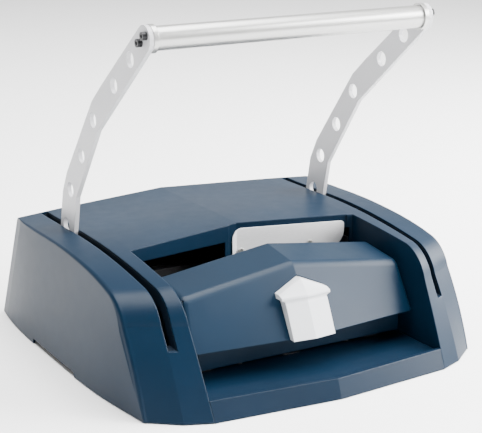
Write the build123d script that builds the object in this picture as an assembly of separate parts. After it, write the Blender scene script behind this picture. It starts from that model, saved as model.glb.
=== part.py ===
from build123d import *
import math
import os

# Hand-lever binding press. Millimetres, X to the viewer's right, +Y to the rear, +Z up.
# Shapes are laid out from the middle of the front lip at table height, then every piece is
# moved by -DEPTH/2 in Y so that the origin lies at the bottom centre of the whole machine.

# ---- driving dimensions ----
DEPTH = 520.0            # lip to the foot of the rear wall
HALF_W = 240.0           # half width over the wing tops
HALF_W_FOOT = 257.0      # half width where the side panels swell at the foot
HALF_REC = 168.5         # half width of the recess between the wings, at the foot
SHELL = 3.0              # moulded wall
RIM_Z = 150.0            # nominal height of the deck
FOOT_GAP = 1.0           # shell stands clear of the table, the feet carry the machine

ARM_X0 = 193.3           # inner face of each arm
ARM_T = 6.0              # arm plate
SLOT_X0 = 190.8          # slot, inner edge
SLOT_X1 = 201.2          # slot, outer edge
SLOT_Y1 = 457.0          # slot, rear end
SLOT_Z0 = 78.5           # slot, lower front end

PIV_Y = 385.0            # handle pivot
PIV_Z = 70.0
SHAFT_D = 20.0
BAR_Y = 123.5            # handle bar centre as it rests
BAR_Z = 439.0
BAR_D = 29.0
FWD_DEG = 56.0           # handle travel, forward and down
BACK_DEG = 38.0          # handle travel, to the rear
CAM_RATE = 8.0           # jaw travel in mm for each radian of the handle

FRAME_X0 = 177.0         # inner face of each steel frame plate
FRAME_T = 5.0
ROD_X = 116.0            # push rods and cams
ROD_D = 16.0
NOSE_R = 7.0             # rounded nose of a cam shoe
PITCH_R = 30.0           # shaft centre to nose centre as it rests
CAM_GAP = 0.15

TRAY_Z = 20.0            # top of the tray floor
RAIL_X = 125.0
JAW_Z0 = 46.0
JAW_Z1 = 94.0
JAW_HALF = 148.0
JAW_Y = 258.0            # front face of the moving jaw as it rests
ANVIL_Y = 196.0          # rear face of the anvil bar as it rests
BLOCK_REAR = 182.0
CARRIAGE_TRAVEL = 45.0
LATCH_TRAVEL = 4.0
BROW_R = 14.0            # front block, rolled upper front edge
CORNER_R = 10.0          # front block, upright front corners
SKIRT_Z = 28.2           # front block, lower edge of the skirt
LIP_DEPTH = 23.0         # rim of the recess, below the ridge

os.makedirs("parts", exist_ok=True)


# ---- helpers ----
def box(x0, x1, y0, y1, z0, z1):
    b = Box(x1 - x0, y1 - y0, z1 - z0)
    return Pos((x0 + x1) / 2, (y0 + y1) / 2, (z0 + z1) / 2) * b


def rod_x(x0, x1, y, z, d):
    return Pos((x0 + x1) / 2, y, z) * Rot(0, 90, 0) * Cylinder(d / 2, x1 - x0)


def rod_y(y0, y1, x, z, d):
    return Pos(x, (y0 + y1) / 2, z) * Rot(90, 0, 0) * Cylinder(d / 2, y1 - y0)


def rod_z(z0, z1, x, y, d):
    return Pos(x, y, (z0 + z1) / 2) * Cylinder(d / 2, z1 - z0)


def flip(shape):
    return mirror(shape, about=Plane.YZ)


def both(shape):
    return Compound(children=[*shape.solids(), *flip(shape).solids()])


def yz_face(x, pts):
    wire = Polyline([Vector(x, y, z) for y, z in pts], close=True)
    return make_face(wire.edges())


def yz_prism(x0, x1, pts):
    return extrude(yz_face(x0, pts), amount=x1 - x0, dir=(1, 0, 0))


def xy_prism(pts, z0, z1):
    wire = Polyline([Vector(x, y, z0) for x, y in pts], close=True)
    return extrude(make_face(wire.edges()), amount=z1 - z0, dir=(0, 0, 1))


def xz_prism(pts, y0, y1):
    wire = Polyline([Vector(x, y0, z) for x, z in pts], close=True)
    return extrude(make_face(wire.edges()), amount=y1 - y0, dir=(0, 1, 0))


def keep(node, shape):
    solids = [s for s in shape.solids()]
    moved = [Pos(0, -DEPTH / 2, 0) * s for s in solids]
    out = moved[0] if len(moved) == 1 else Compound(children=moved)
    out.label = node
    export_step(out, "parts/" + node + ".step")


# ---- housing envelope ----
def plan_face(z, inset):
    # plan outline at height z: straight front, swelling sides, bowed rear wall
    k = z / RIM_Z
    foot = [(236, -12), (240, 54), (252, 143), (256, 215), (257, 330), (255, 420), (249, 480)]
    top = [(240, -12), (240, 54), (240, 143), (240, 215), (240, 330), (239.5, 400), (237.5, 440)]
    side = []
    for (xf, yf), (xt, yt) in zip(foot, top):
        side.append((xf + (xt - xf) * k - inset, yf + (yt - yf) * k))
    rear_y = DEPTH + 0.2 - 29.0 * k - inset
    corner = (245 - 11 * k - inset, 504 - 43 * k - inset)
    right = [Vector(x, y, z) for x, y in side]
    left = [Vector(-x, y, z) for x, y in side]
    rc = Vector(corner[0], corner[1], z)
    lc = Vector(-corner[0], corner[1], z)
    mid = Vector(0, rear_y, z)
    edges = [
        Line(left[0], right[0]),
        Spline(right),
        Line(right[-1], rc),
        Line(rc, mid),
        Line(mid, lc),
        Line(lc, left[-1]),
        Spline(left),
    ]
    return make_face(edges)


def section_face(x, front, crown, belly, inset, rear_y, flat=1.0):
    # front: foot, start, middle and end of the bend; crown: the deck behind the bend
    # belly: how far the front face swells between the foot and the bend
    # the deck rolls over into the rear wall at rear_y; flat scales the heights
    foot, b0, bm, b1 = [(y, z * flat) for y, z in front]
    crown = [(y, z * flat) for y, z in crown]
    lean = math.hypot(b0[0] - foot[0], b0[1] - foot[1])
    ny = (b0[1] - foot[1]) / lean
    nz = -(b0[0] - foot[0]) / lean
    sy, sz = inset * ny, inset * nz
    z_low = -6.0
    t = (z_low - foot[1] - sz) / (b0[1] - foot[1])
    low = Vector(x, foot[0] + sy + t * (b0[0] - foot[0]), z_low)
    p0 = Vector(x, b0[0] + sy, b0[1] + sz)
    swell = (low + p0) * 0.5 - Vector(0, ny, nz) * belly
    pm = Vector(x, bm[0] + inset * 0.72, bm[1] - inset * 0.7)
    p1 = Vector(x, b1[0] + inset * 0.3, b1[1] - inset * 0.95)
    deck = [p1] + [Vector(x, y, z - inset) for y, z in crown]
    last = Vector(x, rear_y - 7, deck[-1].Z - 0.6)
    deck.append(last)
    roll = [last, last + Vector(0, 4.5, -1.4), last + Vector(0, 7.5, -4.6 * flat - 0.2)]
    roll = roll + [last + Vector(0, 11, -12 * flat - 0.4)]
    tail = Vector(x, 565, roll[-1].Z)
    edges = [
        ThreePointArc(low, swell, p0),
        ThreePointArc(p0, pm, p1),
        Spline(deck),
        Line(roll[0], roll[1]),
        Line(roll[1], roll[2]),
        Line(roll[2], roll[3]),
        Line(roll[3], tail),
        Line(tail, Vector(x, 565, z_low)),
        Line(Vector(x, 565, z_low), low),
    ]
    return make_face(edges)


SEC_MID = (((0, 0), (63, 108), (80, 131), (106, 146)),
           [(168, 154), (240, 158), (300, 159), (400, 157)], 1.0)
SEC_IN = (((14, 0), (66, 105), (83, 130), (110, 143.5)),
          [(180, 149.5), (233, 153), (300, 155), (400, 153.5)], 1.0)
SEC_ARM = (((28, 0), (84.5, 104), (101.5, 128), (127, 139.5)),
           [(184, 147), (237, 151.5), (300, 153.8), (400, 152.3)], 3.0)
SEC_OUT = (((55, 0), (105, 104), (121, 126.5), (146, 138)),
           [(190, 145.5), (240, 150), (300, 152.5), (400, 151)], 4.5)


def envelope(inset):
    right = None
    # the last stations roll the deck over into the side panel
    stations = [(0.0, SEC_MID, 0.0, 1.0), (168.0, SEC_IN, 0.0, 1.0), (202.0, SEC_ARM, 0.0, 1.0)]
    for x, drop in ((236.5, 0.0), (239.2, 1.0), (241.2, 3.4), (242.6, 8.0)):
        stations.append((x - inset, SEC_OUT, drop, 1.0))
    stations.append((262.0 - inset, SEC_OUT, 8.0, 0.2))
    faces = []
    for x, (front, crown, belly), drop, flat in stations:
        rear_y = DEPTH - 29.0 - 0.125 * x - inset
        faces.append(section_face(x, front, crown, belly, inset + drop, rear_y, flat))
    for a, b in zip(faces[:-1], faces[1:]):
        piece = loft([a, b], ruled=True)
        right = piece if right is None else right + piece
    profile = right + flip(right)
    plan = loft([plan_face(-6.0, inset), plan_face(175.0, inset)], ruled=True)
    return profile & plan


def recess_y(x):
    # rear edge of the recess, bowed to the rear at the middle
    return 258.0 - 0.15 * abs(x)


def recess_face(z, grow):
    # the wing walls draw apart upwards, more at the front than at the rear
    k = z / 160.0
    front = HALF_REC + 7.0 * k + grow
    rear = HALF_REC + 2.0 * k + grow
    side = [(front, -30), (front, 90), (rear, recess_y(rear) + grow)]
    pts = [(-x, y) for x, y in side] + [(0, recess_y(0) + grow)] + side[::-1]
    wire = Polyline([Vector(x, y, z) for x, y in pts], close=True)
    return make_face(wire.edges())


def recess_solid(grow, z0, z1):
    return loft([recess_face(z0, grow), recess_face(z1, grow)], ruled=True)


def housing():
    outer = envelope(0)
    inner = envelope(SHELL)
    above = box(-300, 300, -60, 560, FOOT_GAP, 200)
    shell = (outer - inner) & above
    room = recess_solid(0, -2, 200)
    shell = shell - room
    lining = recess_solid(SHELL, 15, 200) - recess_solid(0, 10, 201)
    # under the tray floor the wing walls run on down to the foot, the rear one does not
    skirts = recess_solid(SHELL, FOOT_GAP, 16) - recess_solid(0, 0, 17)
    skirts = skirts & box(-300, 300, 0, 232, 0, 17)
    lining = (lining + skirts) & outer
    shell = shell + lining
    # below a shallow rim the rear wall of the recess is open to the jaws
    rim = LIP_DEPTH
    shell = shell - box(-166, 166, 228, 275, 42, 98)
    left_open = box(-166, -20, 228, 275, 97, 158 - rim)
    right_open = box(128, 166, 228, 275, 97, 158 - rim)
    shell = shell - left_open - right_open
    # pocket in the right half of the rear wall, where the guide plate stands
    a, b = -13.0, 161.5
    pocket = xy_prism([(a, 215), (b, 195), (b, recess_y(b) + 1.8), (0, 258 + 1.8),
                       (a, recess_y(a) + 1.8)], 90, 200)
    shell = shell - pocket
    # handle slots over the wings
    slot = box(SLOT_X0, SLOT_X1, 40, SLOT_Y1, SLOT_Z0, 200)
    shell = shell - slot - flip(slot)
    # finger reliefs along the foot of each side panel
    relief = box(225, 270, 232, 362, -5, 7)
    relief = relief + rod_x(225, 270, 232, 0, 14)
    shell = shell - relief - flip(relief)
    # screw posts under the deck, standing on the base pan
    for x, y in POSTS:
        post = rod_z(PAN_TOP, 150, x, y, 11) & envelope(SHELL - 0.5)
        post = post - rod_z(PAN_TOP - 1, PAN_TOP + 16, x, y, 4)
        shell = shell + post
    return shell


PAN_Z0 = 3.0
PAN_TOP = 6.0
POSTS = [(-222, 150), (222, 150), (-222, 400), (222, 400), (-150, 470), (150, 470)]


def slot_liner(side):
    ring = (envelope(SHELL) - envelope(SHELL + 16))
    block = box(SLOT_X0 - 4, SLOT_X1 + 4, 30, SLOT_Y1 + 4, SLOT_Z0 - 4, 200)
    cut = box(SLOT_X0, SLOT_X1, 20, SLOT_Y1, SLOT_Z0, 201)
    liner = (ring & block) - cut
    return liner if side > 0 else flip(liner)


def base_pan():
    pan = envelope(SHELL + 0.4) & box(-300, 300, -60, 560, PAN_Z0, PAN_TOP)
    pan = pan - recess_solid(3.3, -2, 40)
    tongue = box(-HALF_REC + 0.4, HALF_REC - 0.4, 60, 300, PAN_Z0, PAN_TOP)
    pan = pan + tongue
    for x, y in POSTS:
        pan = pan - rod_z(0, 10, x, y, 4.6)
    return pan


def chevron(z, y0, slope, half, back):
    pts = [(-half, y0 + slope * half), (0, y0), (half, y0 + slope * half), (half, back), (-half, back)]
    wire = Polyline([Vector(x, y, z) for x, y in pts], close=True)
    return make_face(wire.edges())


def front_tray():
    half = HALF_REC - 0.4
    lip = loft([chevron(0.6, 0.0, 0.085, half + 0.15, 60), chevron(24.5, 8.8, 0.099, half + 1.2, 60)],
               ruled=True)
    hollow = loft([chevron(-1, 3.2, 0.085, half + 3, 70), chevron(17, 9.6, 0.096, half + 3, 70)], ruled=True)
    dish = loft([chevron(TRAY_Z, 12.2, 0.098, half + 3, 70),
                 chevron(30, 16.0, 0.1, half + 3, 70)], ruled=True)
    lip = lip - hollow - dish
    floor = xy_prism([(-half, 58), (half, 58), (half, 231), (-half, 231)], 17, TRAY_Z)
    tray = lip + floor
    for x in (-150, 150):
        for y in (75, 215):
            tray = tray + rod_z(PAN_TOP if y < 200 else PAN_TOP + 3, 17, x, y, 14)
    return tray


# ---- guide plate ----
def guide_plate():
    # bright plate on the right half of the recess wall; three of its corners are round
    x0, x1, z0, z1 = -7.0, 157.5, 108.0, 151.0
    face = xz_prism([(x0, z0), (x1, z0), (x1, z1 - 5.5), (x0, z1)], -0.02, 0.02)
    uprights = face.edges().filter_by(Axis.Y)
    face = fillet([e for e in uprights if e.center().X < 0 and e.center().Z > 130], 15)
    uprights = face.edges().filter_by(Axis.Y)
    face = fillet([e for e in uprights if e.center().X > 100 and e.center().Z < 120], 24)
    uprights = face.edges().filter_by(Axis.Y)
    face = fillet([e for e in uprights if e.center().X > 140 and e.center().Z > 140], 5)
    wide = Pos(0, 240, 0) * scale(face, by=(1, 3000, 1))
    plate = None
    for lo, hi in ((0.0, 170.0), (-40.0, 0.0)):
        slab = xy_prism([(lo, recess_y(lo) + 0.2), (hi, recess_y(hi) + 0.2),
                         (hi, recess_y(hi) + 1.7), (lo, recess_y(lo) + 1.7)], 100, 160)
        part = slab & wide
        plate = part if plate is None else plate + part
    for x, z in GUIDE_SCREWS:
        plate = plate - rod_y(220, 270, x, z, 4.4)
    return plate


GUIDE_SCREWS = [(6.0, 119.0), (106.0, 120.0)]


def guide_plate_screws():
    out = []
    for x, z in GUIDE_SCREWS:
        y = recess_y(x)
        screw = rod_y(y - 2.2, y - 0.4, x, z, 7) + rod_y(y - 0.4, y + 1.3, x, z, 4)
        out.append(screw)
    return Compound(children=[s for c in out for s in c.solids()])


# ---- steel frame ----
def base_plate():
    plate = box(-184, 184, 238, 462, PAN_TOP, PAN_TOP + 3)
    for x in (-150, 150):
        plate = plate + box(x - 12, x + 12, 200, 239, PAN_TOP, PAN_TOP + 3)
    return plate


def frame_plate(side):
    x0 = FRAME_X0
    pts = [(242, 9), (448, 9), (448, 118), (420, 128), (360, 128), (330, 112), (242, 112)]
    plate = yz_prism(x0, x0 + FRAME_T, pts)
    plate = plate - rod_x(x0 - 1, x0 + 9, PIV_Y, PIV_Z, 26)
    foot = box(x0 - 22, x0, 250, 440, 9, 13)
    plate = plate + foot
    for y, z in TIES:
        plate = plate - rod_x(x0 - 1, x0 + 9, y, z, 8)
    return plate if side > 0 else flip(plate)


TIES = [(269, 24), (434, 28), (434, 106)]


def tie_bars():
    out = []
    for y, z in TIES:
        bar = rod_x(-FRAME_X0, FRAME_X0, y, z, 12)
        bar = bar + rod_x(-FRAME_X0 - FRAME_T, FRAME_X0 + FRAME_T, y, z, 8)
        out.append(bar)
    return Compound(children=[s for c in out for s in c.solids()])


def frame_screws():
    out = []
    for x in (-166, 166):
        for y in (275, 345, 425):
            screw = rod_z(13, 16.5, x, y, 9)
            out.append(screw)
    return Compound(children=[s for c in out for s in c.solids()])


def guide_beam():
    beam = box(-FRAME_X0, FRAME_X0, 300, 316, 52, 96)
    beam = beam + both(box(FRAME_X0 - 30, FRAME_X0, 300, 316, 13, 96))
    for x in (-ROD_X, ROD_X):
        beam = beam - rod_y(290, 330, x, PIV_Z, 22)
    for x in (-50, 0, 50):
        beam = beam - rod_y(290, 330, x, 74, 24)
    return beam


def guide_bushes():
    out = []
    for x in (-ROD_X, ROD_X):
        bush = rod_y(298, 317, x, PIV_Z, 22) - rod_y(297, 318, x, PIV_Z, ROD_D + 0.1)
        out.append(bush)
    return Compound(children=[s for c in out for s in c.solids()])


def shaft_bushes():
    x0 = FRAME_X0
    bush = rod_x(x0 - 4, x0 + FRAME_T, PIV_Y, PIV_Z, 26) + rod_x(x0 - 4, x0, PIV_Y, PIV_Z, 34)
    bush = bush - rod_x(x0 - 5, x0 + 9, PIV_Y, PIV_Z, SHAFT_D + 0.1)
    return both(bush)


def sled_rails():
    return both(box(RAIL_X - 8, RAIL_X + 8, 118, 230, TRAY_Z, 26))


def brake_strip():
    return box(-12, 12, 116, 214, TRAY_Z, 21)


def rubber_feet():
    out = []
    for x, y in ((-205, 130), (205, 130), (-205, 440), (205, 440)):
        foot = rod_z(0, PAN_Z0, x, y, 22)
        out.append(foot)
    return Compound(children=[s for c in out for s in c.solids()])


def housing_screws():
    out = []
    for x, y in POSTS:
        head = rod_z(1.4, PAN_Z0, x, y, 8) + rod_z(PAN_Z0, PAN_TOP + 14, x, y, 4)
        out.append(head)
    return Compound(children=[s for c in out for s in c.solids()])


# ---- handle ----
ARM_OUTLINE = [(133.6, 452.1), (244.3, 366.4), (274.5, 341.5), (362.5, 230.5), (378.5, 201.0),
               (388.5, 155.0), (409.5, 76.0), (361.0, 62.0), (343.5, 157.0), (332.5, 203.5),
               (259.0, 306.5), (112.8, 426.4)]
ARM_HOLES = [(160.5, 410.5), (207.8, 372.0), (272.7, 317.6), (312.6, 263.5), (352.2, 209.5),
             (369.8, 156.5)]
CAP_DY, CAP_DZ = 6.6, -4.8


def cap_points():
    return [(BAR_Y - CAP_DY, BAR_Z - CAP_DZ), (BAR_Y + CAP_DY, BAR_Z + CAP_DZ)]


def arm(side):
    x0 = ARM_X0
    plate = yz_prism(x0, x0 + ARM_T, ARM_OUTLINE)
    plate = plate + rod_x(x0, x0 + ARM_T, BAR_Y, BAR_Z, 33)
    plate = plate + rod_x(x0, x0 + ARM_T, PIV_Y, PIV_Z, 50)
    for y, z in ARM_HOLES:
        plate = plate - rod_x(x0 - 1, x0 + 9, y, z, 20)
    for y, z in cap_points():
        plate = plate - rod_x(x0 - 1, x0 + 9, y, z, 6)
    plate = plate - rod_x(x0 - 1, x0 + 9, PIV_Y, PIV_Z, SHAFT_D)
    return plate if side > 0 else flip(plate)


def handle_bar():
    end = ARM_X0 - 6
    return rod_x(-end, end, BAR_Y, BAR_Z, BAR_D) - rod_x(-end - 1, end + 1, BAR_Y, BAR_Z, BAR_D - 6)


def bar_end_plugs():
    end = ARM_X0 - 6
    plug = rod_x(end, ARM_X0, BAR_Y, BAR_Z, 34) + rod_x(end - 24, end, BAR_Y, BAR_Z, BAR_D - 6)
    for y, z in cap_points():
        plug = plug - rod_x(end - 12, ARM_X0 + 1, y, z, 6)
    return both(plug)


def arm_cap_screws():
    x0 = ARM_X0
    out = []
    for y, z in cap_points():
        screw = rod_x(x0 + ARM_T, x0 + ARM_T + 6, y, z, 10) + rod_x(x0 - 14, x0 + ARM_T, y, z, 6)
        screw = screw - Pos(x0 + ARM_T + 4.5, y, z) * Rot(0, 90, 0) * extrude(RegularPolygon(2.6, 6), 4)
        out.append(screw)
    first = Compound(children=[s for c in out for s in c.solids()])
    return both(first)


def pivot_shaft():
    return rod_x(-208, 208, PIV_Y, PIV_Z, SHAFT_D)


def friction_discs():
    x0 = FRAME_X0 + FRAME_T
    disc = rod_x(x0 + 0.3, x0 + 2.3, PIV_Y, PIV_Z, 40) - rod_x(x0, x0 + 4, PIV_Y, PIV_Z, SHAFT_D)
    return both(disc)


def arm_hubs():
    x0 = FRAME_X0 + FRAME_T + 2.3
    hub = rod_x(x0, ARM_X0, PIV_Y, PIV_Z, 46) - rod_x(x0 - 1, ARM_X0 + 1, PIV_Y, PIV_Z, SHAFT_D)
    return both(hub)


def hub_nuts():
    x0 = ARM_X0 + ARM_T
    hexagon = Pos(x0, PIV_Y, PIV_Z) * Rot(0, 90, 0) * extrude(RegularPolygon(15.5, 6), 7)
    nut = hexagon - rod_x(x0 - 1, x0 + 9, PIV_Y, PIV_Z, SHAFT_D)
    return both(nut)


def hub_screws():
    x0 = ARM_X0 + ARM_T
    out = []
    for k in range(3):
        a = math.radians(90 + 120 * k)
        y, z = PIV_Y + 19.6 * math.cos(a), PIV_Z + 19.6 * math.sin(a)
        out.append(rod_x(x0, x0 + 3, y, z, 6))
    first = Compound(children=[s for c in out for s in c.solids()])
    return both(first)


def cam(side):
    # spiral on the front of the shaft; its nose moves the jaw CAM_RATE for each radian
    start = math.pi - math.radians(FWD_DEG) - 0.30
    stop = math.pi + math.radians(BACK_DEG) + 0.30
    pts = []
    count = 16
    for k in range(count + 1):
        psi = start + (stop - start) * k / count
        rho = PITCH_R - CAM_RATE * (psi - math.pi)
        py, pz = rho * math.cos(psi), rho * math.sin(psi)
        dy = -CAM_RATE * math.cos(psi) - rho * math.sin(psi)
        dz = -CAM_RATE * math.sin(psi) + rho * math.cos(psi)
        size = math.hypot(dy, dz)
        ny, nz = -dz / size, dy / size
        off = NOSE_R + CAM_GAP
        pts.append(Vector(ROD_X - 6, PIV_Y + py + ny * off, PIV_Z + pz + nz * off))
    back = Vector(ROD_X - 6, PIV_Y + 16, PIV_Z + 2)
    lobe = make_face([Spline(pts), ThreePointArc(pts[-1], back, pts[0])])
    body = extrude(lobe, amount=12, dir=(1, 0, 0))
    body = body + rod_x(ROD_X - 10, ROD_X + 10, PIV_Y, PIV_Z, 30)
    body = body - rod_x(ROD_X - 12, ROD_X + 12, PIV_Y, PIV_Z, SHAFT_D)
    return body if side > 0 else flip(body)


def handle_stops():
    # rubber rollers on stub pins beside each frame plate, front and rear of the swing
    x0 = FRAME_X0 + FRAME_T
    out = []
    for y, z in STOPS:
        out.append(rod_x(x0, x0 + 18, y, z, 12))
    first = Compound(children=[s for c in out for s in c.solids()])
    return both(first)


STOPS = [(262, 84), (440, 104)]


# ---- press jaw ----
def press_jaw():
    jaw = box(-JAW_HALF, JAW_HALF, JAW_Y, JAW_Y + 16, JAW_Z0, JAW_Z1)
    for x in (-90, -30, 30, 90):
        jaw = jaw - rod_y(JAW_Y + 7, JAW_Y + 20, x, PIV_Z, 18)
    for x in (-ROD_X, ROD_X):
        jaw = jaw - rod_y(JAW_Y + 4, JAW_Y + 20, x, PIV_Z, 12)
        jaw = jaw - rod_y(JAW_Y - 1, JAW_Y + 20, x, PIV_Z, 5)
        jaw = jaw - rod_y(JAW_Y - 1, JAW_Y + 2.6, x, PIV_Z, 10)
    return jaw


def push_rods():
    out = []
    for x in (-ROD_X, ROD_X):
        rod = rod_y(JAW_Y + 16, 340, x, PIV_Z, ROD_D) + rod_y(JAW_Y + 4, JAW_Y + 16, x, PIV_Z, 12)
        rod = rod - rod_y(JAW_Y, JAW_Y + 22, x, PIV_Z, 5)
        out.append(rod)
    return Compound(children=[s for c in out for s in c.solids()])


def jaw_screws():
    out = []
    for x in (-ROD_X, ROD_X):
        screw = rod_y(JAW_Y + 0.2, JAW_Y + 2.6, x, PIV_Z, 10) + rod_y(JAW_Y + 2.6, JAW_Y + 20, x, PIV_Z, 5)
        out.append(screw)
    return Compound(children=[s for c in out for s in c.solids()])


def cam_shoes():
    out = []
    for x in (-ROD_X, ROD_X):
        nose_y = PIV_Y - PITCH_R
        shoe = box(x - 8, x + 8, 340, nose_y, PIV_Z - NOSE_R, PIV_Z + NOSE_R)
        shoe = shoe + rod_x(x - 8, x + 8, nose_y, PIV_Z, 2 * NOSE_R)
        shoe = shoe + rod_y(340, 343, x, PIV_Z, 26)
        out.append(shoe)
    return Compound(children=[s for c in out for s in c.solids()])


def coil(radius, wire, length, turns):
    path = Helix(pitch=length / turns, height=length, radius=radius)
    start = path @ 0
    tan = path % 0
    prof = Plane(origin=start, z_dir=tan) * Circle(wire / 2)
    return sweep(prof, path=path)


def jaw_springs():
    out = []
    for x in (-ROD_X, ROD_X):
        spring = Pos(x, 317.9, PIV_Z) * Rot(-90, 0, 0) * coil(10.2, 1.6, 20.9, 5)
        out.append(spring)
    return Compound(children=[s for c in out for s in c.solids()])


# ---- carriage ----
def block_face(x, rear_z, front, low, inset):
    ry = BLOCK_REAR - inset
    floor = low[1] + inset
    pts = [(ry, SKIRT_Z), (ry, rear_z - inset), (front[0] + inset * 0.4, front[1] - inset * 1.0),
           (low[0] + inset * 1.15, floor), (104 + inset, floor), (104 + inset, SKIRT_Z)]
    return yz_face(x, pts)


def block_solid(inset):
    # gable-shaped cover whose ends draw in towards the top
    half = 172.0
    mid = block_face(0, 152, (116, 143.5), (66, 60), inset)
    end = block_face(half, 128.3, (111.7, 120.8), (84.5, 60), inset)
    right = loft([mid, end], ruled=True)
    lean = xz_prism([(168.5 - inset, 60), (200, 60), (200, 170), (155.5 - inset, 170)], 40, 200)
    lean = lean + box(158 - inset, 200, 40, 200, 20, 60 + inset)
    right = right - lean
    return right + flip(right)


def shield(grow):
    # outline of the latch seen from the front
    w0, w1 = 30.5 + grow, 35.5 + grow
    return [(-w0, 60 - grow), (w0, 60 - grow), (w0, 104.5), (w1, 107), (w1, 113),
            (0, 128 + grow), (-w1, 113), (-w1, 107), (-w0, 104.5)]


def front_block():
    solid = block_solid(0)
    brow = [e for e in solid.edges() if 100 < e.center().Y < 125 and e.center().Z > 120
            and abs(e.tangent_at(0.5).X) > 0.9]
    solid = fillet(brow, BROW_R)
    posts = [e for e in solid.edges() if abs(e.center().X) > 158 and 62 < e.center().Z < 115
             and e.center().Y < 118 and abs(e.tangent_at(0.5).Z) > 0.5]
    solid = fillet(posts, CORNER_R)
    tops = [e for e in solid.edges() if abs(e.center().X) > 150 and e.center().Z > 112]
    solid = fillet(tops, 4)
    cover = solid - (block_solid(SHELL) + box(-155, 155, 107, BLOCK_REAR - 3, 20, 40))
    cover = cover - xz_prism(shield(0.6), 40, 128)
    for x in (-80, 80):
        for y in (112, 166):
            cover = cover + (rod_z(31, 140, x, y, 12) & block_solid(SHELL - 0.5))
            cover = cover + rod_z(30.5, 60, x, y, 12)
    for x in (-80, 80):
        for y in (112, 166):
            cover = cover - rod_z(29, 44, x, y, 4)
    for x in (-120, 120):
        cover = cover - rod_y(170, 190, x, 70, 6)
    return cover


def carriage_sled():
    sled = box(-150, 150, 107.5, 178, 27, 30.5)
    sled = sled - box(-16, 16, 116, 160, 20, 40)
    lugs = both(box(16, 20, 118, 142, 27, 70))
    sled = sled + lugs - rod_x(-30, 30, 130, 60, 6)
    guide = box(-20, 20, 113, 116, 30.5, 93)
    guide = guide - rod_y(100, 120, 0, 84, 8.1)
    sled = sled + guide
    # upright that carries the anvil bar
    up = box(-150, 150, 174, 178, 27, 92)
    up = up - box(-70, 70, 170, 180, 40, 80)
    for x in (-120, 120):
        up = up - rod_y(170, 180, x, 70, 6)
    sled = sled + up
    for x in (-80, 80):
        for y in (112, 166):
            sled = sled - rod_z(20, 40, x, y, 4)
    return sled


def sled_shoes():
    out = []
    for x in (-RAIL_X, RAIL_X):
        for y in (129, 167):
            shoe = box(x - 12, x + 12, y - 10, y + 10, 20.4, 27)
            shoe = shoe - box(x - 8.3, x + 8.3, y - 11, y + 11, 20, 26.3)
            out.append(shoe)
    return Compound(children=[s for c in out for s in c.solids()])


def block_screws():
    out = []
    for x in (-80, 80):
        for y in (112, 166):
            out.append(rod_z(24.5, 27, x, y, 8) + rod_z(27, 43, x, y, 4))
    return Compound(children=[s for c in out for s in c.solids()])


def anvil_bar():
    bar = box(-JAW_HALF, JAW_HALF, BLOCK_REAR, ANVIL_Y, JAW_Z0, JAW_Z1)
    for x in (-120, 120):
        bar = bar - rod_y(BLOCK_REAR - 1, ANVIL_Y + 1, x, 70, 6)
        bar = bar - rod_y(ANVIL_Y - 4, ANVIL_Y + 1, x, 70, 11)
    return bar


def anvil_screws():
    out = []
    for x in (-120, 120):
        screw = rod_y(ANVIL_Y - 4, ANVIL_Y - 0.3, x, 70, 11) + rod_y(174, ANVIL_Y - 4, x, 70, 6)
        out.append(screw)
    return Compound(children=[s for c in out for s in c.solids()])


# ---- latch ----
def latch():
    # shield with a gabled thumb ledge over a hollow cove
    back = [(100.0, 126.5), (124, 127), (112, 105), (97, 78), (87, 60)]
    mid = [(58.5, 60), (78.0, 101.0), (80.2, 104.0), (80.4, 106.0), (79.2, 108.2), (80.0, 110.6),
           (97.8, 127.5)] + back[1:]
    end = [(62.5, 60), (82.0, 101.0), (84.2, 104.0), (84.4, 106.0), (83.2, 108.2), (84.0, 110.6),
           (90.0, 112.5)] + back[1:]
    half = loft([yz_face(0, mid), yz_face(36, end)], ruled=True)
    body = (half + flip(half)) & xz_prism(shield(0), 30, 140)
    body = body - rod_y(95, 130, 0, 84, 8)
    return body


def latch_stem():
    return rod_y(95, 125.8, 0, 84, 8)


def latch_spring():
    return Pos(0, 103.4, 84) * Rot(-90, 0, 0) * coil(5.6, 0.9, 8.9, 4)


def brake_pin():
    return rod_x(-20, 20, 130, 60, 6)


def brake_lever():
    lever = box(-8, 8, 127, 133, 26, 94)
    lever = lever + rod_x(-10, 10, 130, 60, 14)
    lever = lever - rod_x(-20, 20, 130, 60, 6.1)
    return lever


def brake_pad():
    return box(-8, 8, 124, 136, 21.8, 26)


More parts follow.
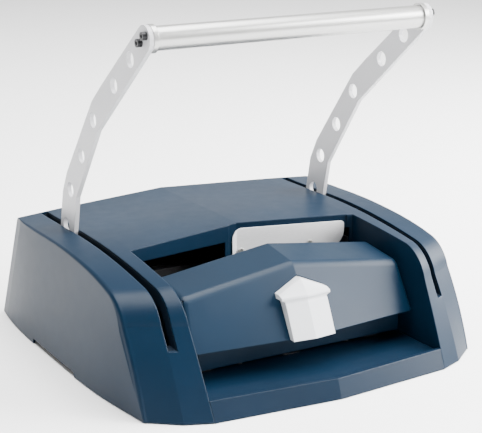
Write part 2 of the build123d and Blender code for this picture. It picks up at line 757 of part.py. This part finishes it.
NODES = [
    ("housing", housing, None),
    ("slot_liner_left", slot_liner, -1),
    ("slot_liner_right", slot_liner, 1),
    ("base_pan", base_pan, None),
    ("front_tray", front_tray, None),
    ("guide_plate", guide_plate, None),
    ("guide_plate_screws", guide_plate_screws, None),
    ("base_plate", base_plate, None),
    ("frame_plate_left", frame_plate, -1),
    ("frame_plate_right", frame_plate, 1),
    ("tie_bars", tie_bars, None),
    ("frame_screws", frame_screws, None),
    ("guide_beam", guide_beam, None),
    ("guide_bushes", guide_bushes, None),
    ("shaft_bushes", shaft_bushes, None),
    ("sled_rails", sled_rails, None),
    ("brake_strip", brake_strip, None),
    ("rubber_feet", rubber_feet, None),
    ("housing_screws", housing_screws, None),
    ("handle_stops", handle_stops, None),
    ("arm_left", arm, -1),
    ("arm_right", arm, 1),
    ("handle_bar", handle_bar, None),
    ("bar_end_plugs", bar_end_plugs, None),
    ("arm_cap_screws", arm_cap_screws, None),
    ("pivot_shaft", pivot_shaft, None),
    ("friction_discs", friction_discs, None),
    ("arm_hubs", arm_hubs, None),
    ("hub_nuts", hub_nuts, None),
    ("hub_screws", hub_screws, None),
    ("cam_left", cam, -1),
    ("cam_right", cam, 1),
    ("press_jaw", press_jaw, None),
    ("push_rods", push_rods, None),
    ("jaw_screws", jaw_screws, None),
    ("cam_shoes", cam_shoes, None),
    ("jaw_springs", jaw_springs, None),
    ("front_block", front_block, None),
    ("carriage_sled", carriage_sled, None),
    ("sled_shoes", sled_shoes, None),
    ("block_screws", block_screws, None),
    ("anvil_bar", anvil_bar, None),
    ("anvil_screws", anvil_screws, None),
    ("latch", latch, None),
    ("latch_stem", latch_stem, None),
    ("latch_spring", latch_spring, None),
    ("brake_pin", brake_pin, None),
    ("brake_lever", brake_lever, None),
    ("brake_pad", brake_pad, None),
]

for name, make, side in NODES:
    shape = make() if side is None else make(side)
    keep(name, shape)
    bb = shape.bounding_box()
    print(name, len(shape.solids()), round(sum(s.volume for s in shape.solids())),
          [round(v, 1) for v in (bb.min.X, bb.max.X, bb.min.Y, bb.max.Y, bb.min.Z, bb.max.Z)])
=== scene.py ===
import math

import bpy
import bmesh
from mathutils import Matrix, Vector


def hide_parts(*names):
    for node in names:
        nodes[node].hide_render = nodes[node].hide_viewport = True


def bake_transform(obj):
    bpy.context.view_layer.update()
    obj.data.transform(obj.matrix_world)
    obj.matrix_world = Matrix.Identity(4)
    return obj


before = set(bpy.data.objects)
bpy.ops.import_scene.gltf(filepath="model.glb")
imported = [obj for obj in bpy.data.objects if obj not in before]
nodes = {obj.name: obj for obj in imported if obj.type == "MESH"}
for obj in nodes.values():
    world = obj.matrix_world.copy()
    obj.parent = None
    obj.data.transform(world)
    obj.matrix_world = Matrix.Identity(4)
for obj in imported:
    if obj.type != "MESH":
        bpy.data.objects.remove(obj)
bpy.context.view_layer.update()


collection = bpy.context.scene.collection


# ---- material building blocks ----------------------------------------------
def new_mat(name):
    m = bpy.data.materials.new(name)
    m.use_nodes = True
    nt = m.node_tree
    return m, nt, nt.nodes["Principled BSDF"]


def link(nt, a, b):
    nt.links.new(a, b)


def coords(nt, scale=(1, 1, 1)):
    tc = nt.nodes.new("ShaderNodeTexCoord")
    mp = nt.nodes.new("ShaderNodeMapping")
    mp.inputs["Scale"].default_value = scale
    link(nt, tc.outputs["Object"], mp.inputs["Vector"])
    return mp.outputs["Vector"]


def noise(nt, vec, scale, detail=2.0, rough=0.5):
    n = nt.nodes.new("ShaderNodeTexNoise")
    n.inputs["Scale"].default_value = scale
    n.inputs["Detail"].default_value = detail
    n.inputs["Roughness"].default_value = rough
    link(nt, vec, n.inputs["Vector"])
    return n.outputs["Fac"]


def tint(nt, fac, base, vary, start):
    # the base colour, a little darker and a little lighter from start to 1 - start of the noise
    r = nt.nodes.new("ShaderNodeValToRGB")
    darker = tuple(c * (1 - vary) for c in base)
    lighter = tuple(min(1.0, c * (1 + vary)) for c in base)
    stops = ((start, darker), (1 - start, lighter))
    for e, (position, colour) in zip(r.color_ramp.elements, stops):
        e.position = position
        e.color = (*colour, 1.0)
    link(nt, fac, r.inputs["Fac"])
    return r.outputs["Color"]


def spread(nt, fac, lo, hi):
    r = nt.nodes.new("ShaderNodeMapRange")
    r.inputs["To Min"].default_value = lo
    r.inputs["To Max"].default_value = hi
    link(nt, fac, r.inputs["Value"])
    return r.outputs["Result"]


def bump(nt, height, strength, dist, soft):
    # surface relief over edges rounded by soft metres
    b = nt.nodes.new("ShaderNodeBump")
    b.inputs["Strength"].default_value = strength
    b.inputs["Distance"].default_value = dist
    link(nt, height, b.inputs["Height"])
    e = nt.nodes.new("ShaderNodeBevel")
    e.samples = 8
    e.inputs["Radius"].default_value = soft
    link(nt, e.outputs["Normal"], b.inputs["Normal"])
    return b.outputs["Normal"]


# ---- finishes --------------------------------------------------------------
def moulded(name, base, vary=0.08, rough=(0.34, 0.42), grain=0.00012, soft=0.0015, spec=0.18):
    # moulded plastic: fine spark-eroded grain, faint flow clouds in colour and gloss
    m, nt, b = new_mat(name)
    v = coords(nt)
    cloud = noise(nt, v, 9.0, 3.0)
    link(nt, tint(nt, cloud, base, vary, 0.3), b.inputs["Base Color"])
    fine = noise(nt, v, 60.0, 4.0)
    link(nt, spread(nt, fine, *rough), b.inputs["Roughness"])
    tooth = noise(nt, v, 1400.0, 2.0)
    link(nt, bump(nt, tooth, 0.25, grain, soft), b.inputs["Normal"])
    b.inputs["Specular IOR Level"].default_value = spec
    return m


def metal(name, base, rough=(0.25, 0.35), stretch=(1, 1, 1), scale=220.0, metallic=1.0, vary=0.06):
    # ground or brushed metal: streaks along the direction with the smallest stretch
    m, nt, b = new_mat(name)
    v = coords(nt, stretch)
    streak = noise(nt, v, scale, 3.0, 0.6)
    link(nt, tint(nt, streak, base, vary, 0.35), b.inputs["Base Color"])
    link(nt, spread(nt, streak, *rough), b.inputs["Roughness"])
    link(nt, bump(nt, streak, 0.3, 0.00003, 0.0006), b.inputs["Normal"])
    b.inputs["Metallic"].default_value = metallic
    return m


def painted(name, base, rough=(0.3, 0.38), vary=0.025):
    # powder coat: slight orange peel over plate
    m, nt, b = new_mat(name)
    v = coords(nt)
    cloud = noise(nt, v, 14.0, 3.0)
    link(nt, tint(nt, cloud, base, vary, 0.3), b.inputs["Base Color"])
    skin = noise(nt, v, 420.0, 2.0)
    link(nt, spread(nt, skin, *rough), b.inputs["Roughness"])
    link(nt, bump(nt, skin, 0.3, 0.00006, 0.0008), b.inputs["Normal"])
    return m


SHELL_BLUE = (0.0014, 0.0100, 0.0235)
BLOCK_BLUE = (0.0007, 0.0098, 0.0235)
# painted shade: the tray is the block's petrol blue made darker, so it reads as the shadow under
# the block
TRAY_BLUE_IN_PAINTED_SHADE = (0.0004, 0.0075, 0.019)
# painted shade: the slot liners are the petrol blue made darker, so the slots read as shaded
# inside
LINER_BLUE_IN_PAINTED_SHADE = (0.001, 0.006, 0.014)

FINISH = {
    "shell": moulded("petrol_shell", SHELL_BLUE, soft=0.0022, spec=0.12),
    "block": moulded("petrol_block", BLOCK_BLUE, rough=(0.36, 0.44)),
    "tray": moulded("petrol_tray_painted_shade", TRAY_BLUE_IN_PAINTED_SHADE, rough=(0.38, 0.46)),
    "liner": moulded("petrol_liner_painted_shade", LINER_BLUE_IN_PAINTED_SHADE, rough=(0.5, 0.6), spec=0.25),
    "pan": moulded("black_pan", (0.012, 0.012, 0.014), rough=(0.5, 0.6)),
    "latch": moulded("white_latch", (0.50, 0.515, 0.535), vary=0.015, rough=(0.22, 0.28),
                     grain=0.00002, soft=0.0012),
    "guide": metal("guide_zinc", (0.80, 0.80, 0.81), rough=(0.42, 0.5), stretch=(1, 1, 14),
                   scale=160, metallic=0.35),
    "frame": painted("primer_grey", (0.12, 0.13, 0.14), rough=(0.45, 0.55)),
    "bright": metal("ground_steel", (0.56, 0.57, 0.58), rough=(0.2, 0.32), stretch=(0.1, 6, 6)),
    "black": metal("black_oxide", (0.018, 0.018, 0.020), rough=(0.3, 0.42), metallic=0.6,
                   vary=0.2),
    "zinc": metal("zinc_screw", (0.62, 0.61, 0.56), rough=(0.3, 0.42)),
    "arm": painted("arm_powder_coat", (0.45, 0.45, 0.465)),
    "bar": metal("satin_tube", (0.43, 0.43, 0.42), rough=(0.28, 0.36), stretch=(0.06, 5, 5),
                 scale=300, vary=0.03, metallic=0.85),
    "cam": painted("cast_black", (0.03, 0.03, 0.032), rough=(0.5, 0.65)),
    "bronze": metal("sintered_bronze", (0.55, 0.38, 0.16), rough=(0.4, 0.5)),
    "fibre": moulded("friction_fibre", (0.10, 0.05, 0.03), vary=0.25, rough=(0.7, 0.8)),
    # painted shade: the acetal shoes, sled, guide beam, rails and brake strip are near black so
    # the gap under the block reads as shadow
    "acetal": moulded("acetal", (0.02, 0.02, 0.021), vary=0.1, rough=(0.4, 0.5)),
    "sled": painted("sled_black_painted_shade", (0.02, 0.02, 0.022), rough=(0.5, 0.6)),
    "rail": metal("rail_black_painted_shade", (0.05, 0.05, 0.055), rough=(0.3, 0.42), stretch=(6, 0.1, 6),
                  metallic=0.8),
    "rubber": moulded("black_rubber", (0.014, 0.014, 0.014), vary=0.15, rough=(0.7, 0.8),
                      spec=0.3),
    "spring": metal("spring_wire", (0.42, 0.42, 0.42)),
}

WEARS = {
    "shell": ("housing",),
    "block": ("front_block",),
    "tray": ("front_tray",),
    "liner": ("slot_liner_left", "slot_liner_right"),
    "pan": ("base_pan",),
    "latch": ("latch",),
    "guide": ("guide_plate",),
    "frame": ("base_plate", "frame_plate_left", "frame_plate_right", "brake_lever"),
    "bright": ("tie_bars", "pivot_shaft", "arm_hubs", "push_rods", "anvil_bar", "latch_stem",
               "brake_pin"),
    "black": ("press_jaw", "housing_screws", "arm_cap_screws", "hub_screws", "jaw_screws",
              "block_screws", "anvil_screws"),
    "zinc": ("guide_plate_screws", "frame_screws", "hub_nuts"),
    "arm": ("arm_left", "arm_right"),
    "bar": ("handle_bar", "bar_end_plugs"),
    "cam": ("cam_left", "cam_right"),
    "bronze": ("guide_bushes", "shaft_bushes", "cam_shoes"),
    "fibre": ("friction_discs",),
    "acetal": ("sled_shoes",),
    "sled": ("carriage_sled", "guide_beam"),
    "rail": ("sled_rails", "brake_strip"),
    "rubber": ("rubber_feet", "handle_stops", "brake_pad"),
    "spring": ("jaw_springs", "latch_spring"),
}
for finish, names in WEARS.items():
    for name in names:
        ob = nodes[name]
        if not ob.material_slots:
            ob.data.materials.append(FINISH[finish])
        for s in ob.material_slots:
            s.link = "OBJECT"
            s.material = FINISH[finish]


# ---- springs: fixed copies of the spring meshes in spring wire, the originals hidden ---
def coil_between(name, node):
    piece = bpy.data.objects.new(name, nodes[node].data.copy())
    collection.objects.link(piece)
    piece.data.materials.clear()
    piece.data.materials.append(FINISH["spring"])
    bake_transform(piece)
    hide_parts(node)


coil_between("jaw_return_coils", "jaw_springs")
coil_between("latch_coil", "latch_spring")


# ---- floor -----------------------------------------------------------------
FLOOR_HALF = 6.0
FLOOR_COLOUR = (0.86, 0.86, 0.86, 1)

me = bpy.data.meshes.new("floor")
bm = bmesh.new()
bmesh.ops.create_grid(bm, x_segments=2, y_segments=2, size=FLOOR_HALF)
bm.to_mesh(me)
bm.free()
floor = bpy.data.objects.new("floor", me)
collection.objects.link(floor)
floor_mat, _, floor_bsdf = new_mat("pale_floor")
floor_bsdf.inputs["Base Color"].default_value = FLOOR_COLOUR
floor_bsdf.inputs["Roughness"].default_value = 0.7
me.materials.append(floor_mat)


# ---- light -----------------------------------------------------------------
BRIGHT_SIDE = (0.45, 0.60, -1.0)     # the studio is white from here and dim from across
DIM, BRIGHT = 0.3, 1.8

world = bpy.data.worlds.new("studio")
bpy.context.scene.world = world
world.use_nodes = True
wn = world.node_tree
background = wn.nodes["Background"]
background.inputs["Color"].default_value = (1, 1, 1, 1)
direction = wn.nodes.new("ShaderNodeTexCoord")
facing = wn.nodes.new("ShaderNodeVectorMath")
facing.operation = "DOT_PRODUCT"
facing.inputs[1].default_value = BRIGHT_SIDE
fall = wn.nodes.new("ShaderNodeMapRange")
fall.interpolation_type = "SMOOTHSTEP"
fall.inputs["From Min"].default_value = -0.25
fall.inputs["From Max"].default_value = 0.5
fall.inputs["To Min"].default_value = DIM
fall.inputs["To Max"].default_value = BRIGHT
link(wn, direction.outputs["Generated"], facing.inputs[0])
link(wn, facing.outputs["Value"], fall.inputs["Value"])
link(wn, fall.outputs["Result"], background.inputs["Strength"])


def aim(ob, towards):
    ob.rotation_euler = towards.to_track_quat("-Z", "Y").to_euler()


# name, place, what it points at, width and height, watts
SOFTBOXES = (
    ("ceiling", (0.3, -0.1, 4.0), (0.3, -0.1, 0), (3.6, 3.6), 760),
    ("left_rear_box", (-1.25, 2.05, 0.45), (-0.25, 0.05, 0.08), (1.1, 0.6), 9),
    ("right_key", (1.9, -0.75, 1.15), (0.1, -0.1, 0.1), (2.3, 1.4), 330),
    ("front_low", (-0.9, -2.4, 0.3), (-0.2, -0.2, 0.06), (1.6, 0.5), 24),
)
for name, place, target, size, watts in SOFTBOXES:
    light = bpy.data.lights.new(name, "AREA")
    light.shape = "RECTANGLE"
    light.size, light.size_y = size
    light.energy = watts
    lamp = bpy.data.objects.new(name, light)
    lamp.location = place
    aim(lamp, Vector(target) - Vector(place))
    lamp.visible_camera = False
    collection.objects.link(lamp)


# ---- camera ----------------------------------------------------------------
LENS_MM = 103.46
CAMERA_AT = (-0.884465, -1.550964, 0.680814)
AZ, EL, ROLL = (math.radians(a) for a in (-29.9029, 16.0473, 0.078))

cam = bpy.data.cameras.new("camera")
cam.sensor_width = 36.0
cam.lens = LENS_MM
cam_ob = bpy.data.objects.new("camera", cam)
cam_ob.location = CAMERA_AT
sight = Vector((-math.sin(AZ) * math.cos(EL), math.cos(AZ) * math.cos(EL), -math.sin(EL)))
level = sight.to_track_quat("-Z", "Y").to_matrix()
cam_ob.rotation_euler = (level @ Matrix.Rotation(ROLL, 3, "Z")).to_euler()
collection.objects.link(cam_ob)
bpy.context.scene.camera = cam_ob
